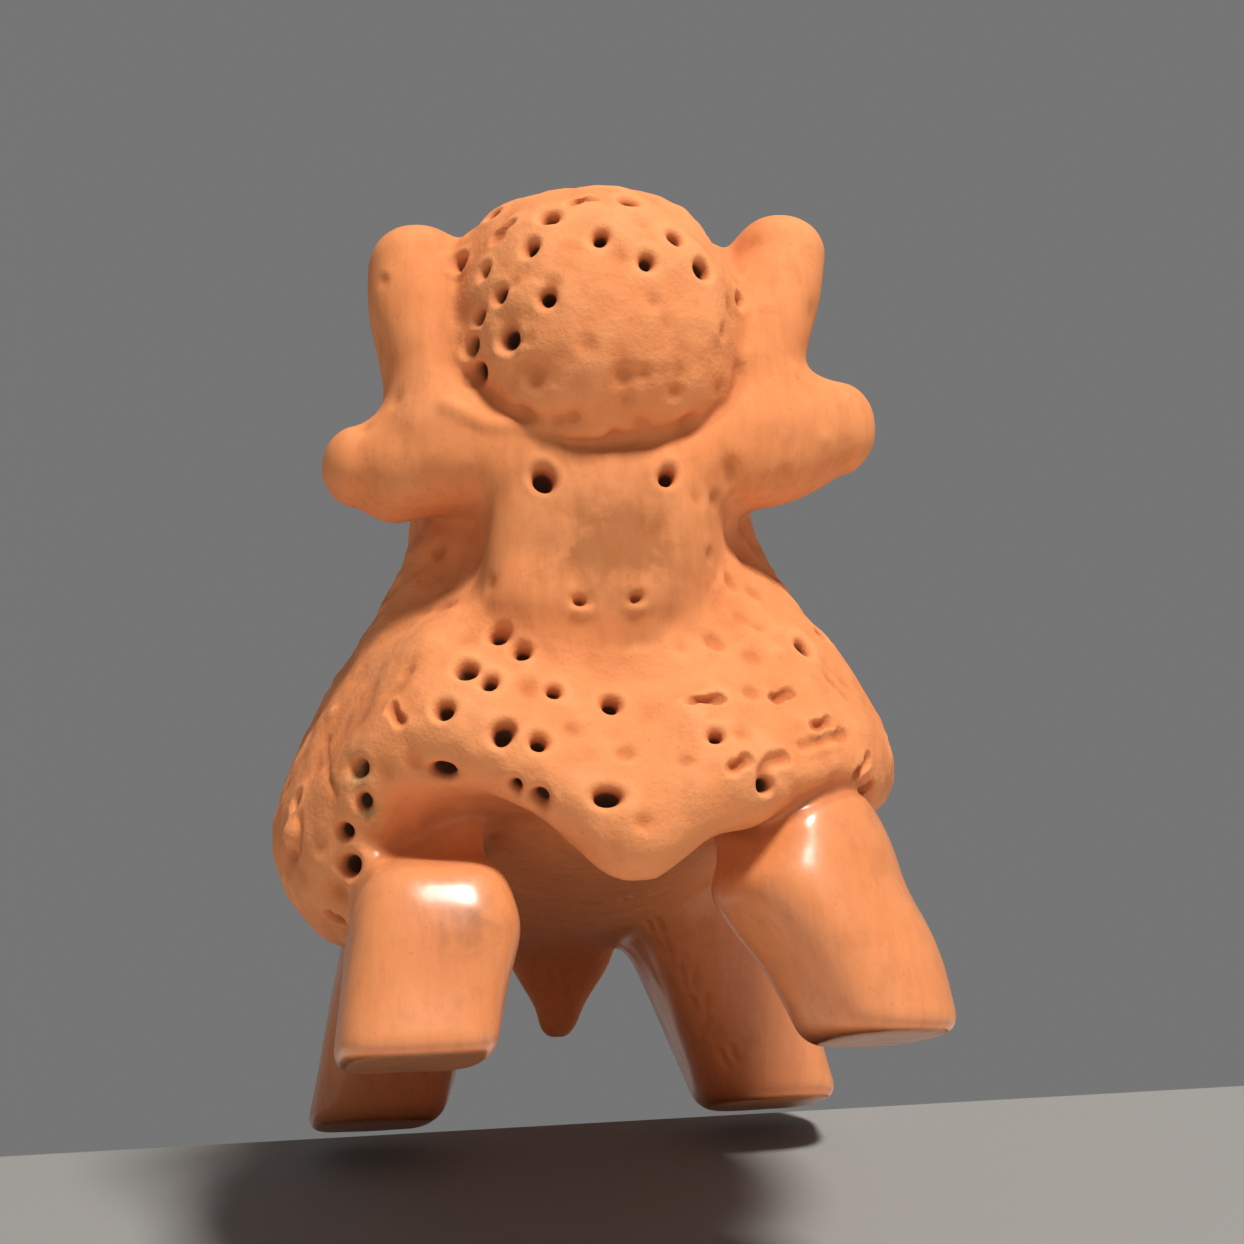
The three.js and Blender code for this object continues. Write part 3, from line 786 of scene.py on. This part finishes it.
class Value:
    def __init__(self, graph, socket):
        self.graph, self.socket = graph, socket

    def maths(self, operation, first, second=None, clamp=False):
        inputs = {0: first} if second is None else {0: first, 1: second}
        return self.graph.node("ShaderNodeMath", {"operation": operation, "use_clamp": clamp}, inputs)

    def __add__(self, other):
        return self.maths("ADD", self, other)

    def __sub__(self, other):
        return self.maths("SUBTRACT", self, other)

    def __mul__(self, other):
        return self.maths("MULTIPLY", self, other)

    def __rsub__(self, other):
        return self.maths("SUBTRACT", other, self)

    def __pow__(self, other):
        return self.maths("POWER", self, other)

    __radd__ = __add__
    __rmul__ = __mul__

    def between(self, start, end):
        return self.graph.node("ShaderNodeMapRange", {"interpolation_type": "SMOOTHSTEP"},
                               {"Value": self, "From Min": start, "From Max": end})

    def limited(self):
        return self.maths("ADD", self, 0.0, clamp=True)


class Graph:
    def __init__(self, name):
        self.look = bpy.data.materials.new(name)
        self.look.use_nodes = True
        self.tree = self.look.node_tree
        self.shader = self.tree.nodes["Principled BSDF"]

    def node(self, kind, settings=None, inputs=None, output=0):
        made = self.tree.nodes.new(kind)
        for key, setting in (settings or {}).items():
            setattr(made, key, setting)
        for key, value in (inputs or {}).items():
            self.feed(made.inputs[key], value)
        return Value(self, made.outputs[output])

    def feed(self, socket, value):
        if isinstance(value, Value):
            self.tree.links.new(value.socket, socket)
        else:
            socket.default_value = value

    def noise(self, place, size, detail=3.0, roughness=0.55, distortion=0.0):
        return self.node("ShaderNodeTexNoise", None, {
            "Vector": place, "Scale": 1000 / size, "Detail": detail, "Roughness": roughness,
            "Distortion": distortion})

    def blendColour(self, share, first, second, way="MIX"):
        made = self.tree.nodes.new("ShaderNodeMix")
        made.data_type = "RGBA"
        made.blend_type = way
        for key, value in ((0, share), (6, first), (7, second)):
            self.feed(made.inputs[key], value)
        return Value(self, made.outputs[2])

    def stretched(self, place, stretch):
        return self.node("ShaderNodeVectorMath", {"operation": "MULTIPLY"}, {0: place, 1: stretch})

    def known(self, name):
        return self.node("ShaderNodeAttribute", {"attribute_name": name}, output="Fac")


clayLook = {
    "clay": (0.71, 0.240, 0.082, 1),
    "paler": (0.79, 0.315, 0.125, 1),
    # deeper: darker tone for mottling and specks, also used as the painted shade in hollows and holes
    "deeper": (0.50, 0.150, 0.048, 1),
    "brown": (0.29, 0.098, 0.028, 1),
    # painted shade: near-black colour for the bottoms of the punched holes
    "paintedHoleShade": (0.045, 0.022, 0.012, 1),
    "residue": (0.20, 0.19, 0.085, 1),
    "burnished": 0.48,
    "matte": 0.78,
    "shine": 0.26,
    "coat": 0.75,
    "coatRough": 0.24,
}


def makeClay(look):
    graph = Graph("burntClay")
    place = graph.node("ShaderNodeTexCoord", output="Object")
    hair, face, pit = graph.known("hair"), graph.known("face"), graph.known("pit")
    crest, brown, residueAt = graph.known("crest"), graph.known("brown"), graph.known("residue")
    leg = graph.known("leg")
    smooth = 1 - hair

    cloud = graph.noise(place, 9.0, 3)
    mottle = graph.noise(place, 2.2, 4, 0.6, 0.4)
    fine = graph.noise(place, 0.7, 3, 0.65)
    streak = graph.noise(graph.stretched(place, (1, 1, 0.16)), 0.9, 3, 0.6, 0.3)

    colour = graph.blendColour(cloud.between(0.35, 0.7) * 0.45, look["clay"], look["paler"])
    colour = graph.blendColour(mottle.between(0.5, 0.75) * 0.4, colour, look["deeper"])
    # painted light and shade: raised lumps lighter and hollows darker, from how far the skin stands out of its
    # softened form
    colour = graph.blendColour((crest.between(0.0, 0.7) * (0.25 + hair * 0.35)).limited(), colour, look["paler"])
    paintedHollowShade = (0 - crest).between(0.05, 0.8)
    colour = graph.blendColour((paintedHollowShade * 0.55).limited(), colour, look["deeper"])

    burnish = streak.between(0.42, 0.68) * smooth
    colour = graph.blendColour(burnish * 0.12, colour, look["brown"])
    slip = (brown * (0.75 + streak * 0.4) * (0.6 + mottle.between(0.3, 0.62) * 0.4)).between(0.05, 0.75)
    colour = graph.blendColour(slip * 0.85, colour, look["brown"])
    colour = graph.blendColour((face * cloud.between(0.4, 0.65) * 0.3).limited(), colour, look["brown"])

    speck = graph.noise(place, 0.35, 2, 0.5).between(0.66, 0.74)
    colour = graph.blendColour(speck * 0.35, colour, look["deeper"])
    # painted shade: the punched holes darken with depth, to near black at their bottoms
    colour = graph.blendColour(pit.between(0.12, 0.55) * 0.8, colour, look["deeper"])
    colour = graph.blendColour(pit.between(0.5, 0.95) * 0.9, colour, look["paintedHoleShade"])
    colour = graph.blendColour((residueAt * fine.between(0.3, 0.6)).limited() * 0.8, colour, look["residue"])
    graph.feed(graph.shader.inputs["Base Color"], colour)

    graph.shader.inputs["Specular IOR Level"].default_value = look["shine"]
    graph.shader.inputs["Coat Roughness"].default_value = look["coatRough"]
    graph.feed(graph.shader.inputs["Coat Weight"], leg * look["coat"])
    rough = look["matte"] - leg * (look["matte"] - look["burnished"])
    rough = rough + (fine - 0.5) * 0.16 + burnish * 0.12 + pit * 0.2
    graph.feed(graph.shader.inputs["Roughness"], rough.limited())

    grit = graph.noise(place, 0.32, 3, 0.6)
    height = fine * (0.25 + hair * 0.75) + grit * (0.12 + hair * 0.5) + streak * smooth * 0.35
    bump = graph.node("ShaderNodeBump", None, {"Strength": 0.6, "Distance": 0.00012, "Height": height})
    graph.feed(graph.shader.inputs["Normal"], bump)
    return graph.look


buffalo.data.materials.append(makeClay(clayLook))
print("clay finished")


# Floor, light and camera

def oneSided(name, colour):
    graph = Graph(name)
    graph.shader.inputs["Base Color"].default_value = (*colour, 1)
    graph.shader.inputs["Roughness"].default_value = 0.9
    behind = graph.node("ShaderNodeNewGeometry", output="Backfacing")
    clear = graph.node("ShaderNodeBsdfTransparent")
    seen = graph.node("ShaderNodeMixShader", None, {
        0: behind, 1: Value(graph, graph.shader.outputs[0]), 2: clear})
    graph.feed(graph.tree.nodes["Material Output"].inputs["Surface"], seen)
    return graph.look


def sheet(name, corners, faces, look):
    mesh = bpy.data.meshes.new(name)
    mesh.from_pydata(corners, [], faces)
    mesh.materials.append(look)
    piece = bpy.data.objects.new(name, mesh)
    bpy.context.scene.collection.objects.link(piece)


# The camera looks up from below the soles, so the floor shows from above alone and is left open
# under each foot. A second sheet slopes down towards the camera from the hind feet.
floorShape = {
    "size": 1.5, "edge": 0.8, "colour": (0.62, 0.61, 0.59),
    "slope": 24.0, "hindLine": 0.0236, "slopeColour": (0.26, 0.26, 0.255),
}


def makeFloor(shape):
    size = shape["size"]
    loops = [[Vector((-size, -size, 0)), Vector((size, -size, 0)), Vector((size, size, 0)), Vector((-size, size, 0))]]
    for leg in legShapes.values():
        _, x, y, halfWidth, halfDepth = leg["rows"][0]
        ring = outline(halfWidth - shape["edge"], halfDepth - shape["edge"], leg["squareness"], leg["turn"], 40)
        loops.append([Vector(((x + a - middle[0]) / 1000, (y + b - middle[1]) / 1000, 0)) for a, b in ring])
    corners = [corner for loop in loops for corner in loop]
    faces = []
    for a, b, c in tessellate_polygon(loops):
        upwards = (corners[b] - corners[a]).cross(corners[c] - corners[a]).z > 0
        faces.append((a, b, c) if upwards else (a, c, b))
    sheet("floor", corners, faces, oneSided("paleFloor", shape["colour"]))
    near, drop = shape["hindLine"] - size, size * math.tan(math.radians(shape["slope"]))
    sheet("slope", [(-size, near, -drop), (size, near, -drop), (size, shape["hindLine"], 0),
                    (-size, shape["hindLine"], 0)], [(0, 1, 2, 3)], oneSided("greySlope", shape["slopeColour"]))


makeFloor(floorShape)

lightShape = {"world": 0.20, "key": 6.6, "keyFrom": (0.20, -0.56, 0.80), "keySize": 0.14}
world = bpy.data.worlds.new("softRoom")
bpy.context.scene.world = world
world.use_nodes = True
world.node_tree.nodes["Background"].inputs[0].default_value = (0.9, 0.9, 0.9, 1)
world.node_tree.nodes["Background"].inputs[1].default_value = lightShape["world"]


def areaLight(name, towards, distance, size, power):
    light = bpy.data.lights.new(name, "AREA")
    light.size = size
    light.energy = power
    light.color = (1.0, 0.955, 0.90)
    lamp = bpy.data.objects.new(name, light)
    bpy.context.scene.collection.objects.link(lamp)
    aim = Vector((0, -0.01, 0.03))
    way = Vector(towards).normalized()
    lamp.location = aim + way * distance
    lamp.rotation_euler = (-way).to_track_quat("-Z", "Y").to_euler()


areaLight("keyLight", lightShape["keyFrom"], 0.7, lightShape["keySize"], lightShape["key"])

cameraPlace = np.array([-31.1, -195.3, -20.0])
forward = Vector((0.1706, 0.9480, 0.2689)).normalized()
level = Vector((0.984, -0.177, 0.0)).normalized()
upright = level.cross(forward)
roll = math.radians(4.2)
right = level * math.cos(roll) - upright * math.sin(roll)
up = level * math.sin(roll) + upright * math.cos(roll)
cameraData = bpy.data.cameras.new("camera")
cameraData.sensor_width = 36
cameraData.lens = 2700 / 1244 * 36
cameraData.clip_start = 0.005
camera = bpy.data.objects.new("camera", cameraData)
bpy.context.scene.collection.objects.link(camera)
spot = Vector((cameraPlace - middle) * 0.001)
rows = Matrix((right, up, -forward)).transposed()
camera.matrix_world = Matrix.Translation(spot) @ rows.to_4x4()
bpy.context.scene.camera = camera
bpy.context.scene.view_settings.view_transform = "Standard"
